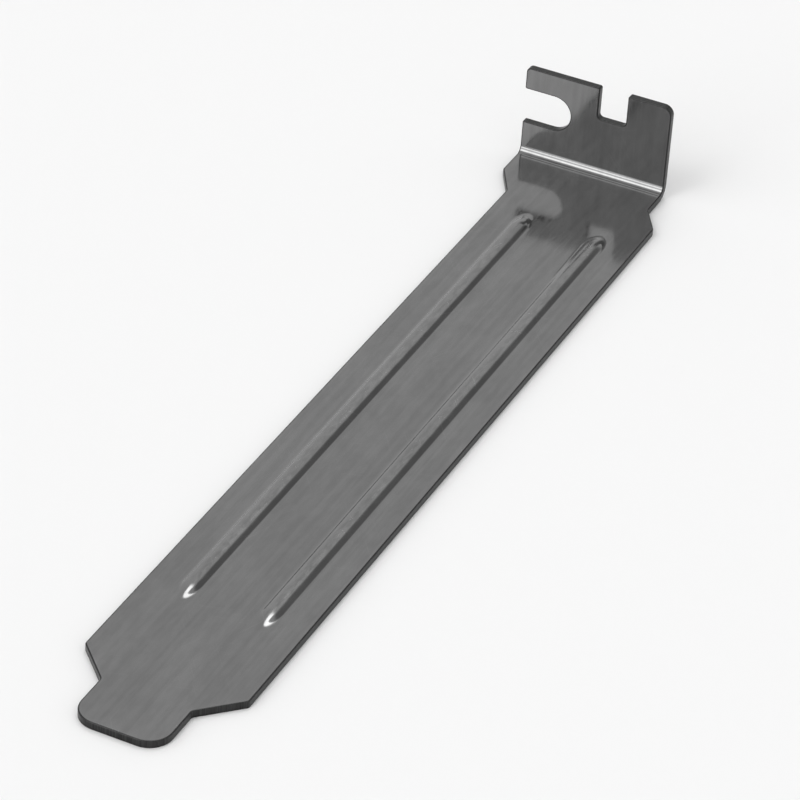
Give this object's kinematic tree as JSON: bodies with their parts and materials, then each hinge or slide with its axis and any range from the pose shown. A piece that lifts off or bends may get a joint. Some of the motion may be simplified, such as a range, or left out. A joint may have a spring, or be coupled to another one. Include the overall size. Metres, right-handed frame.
{
  "type": "pci slot cover bracket",
  "caption": "Folded steel cover for a computer case's expansion slot, with a slotted and notched screw tab, stiffening beads and a locating tongue.",
  "frame": {"origin": "on the plane of the body's underside, under the middle of the bounding box", "axes": "+Y along the body from the tongue to the tab, +Z the way the tab stands up from the body, +X across the body towards the tab's closed edge"},
  "size_m": [0.0208, 0.12, 0.0123],
  "materials": {
    "steel": "bright plated steel, polished, with fine streaks along its length"
  },
  "bodies": {
    "root": {"bracket": "steel"}
  },
  "joints": []
}
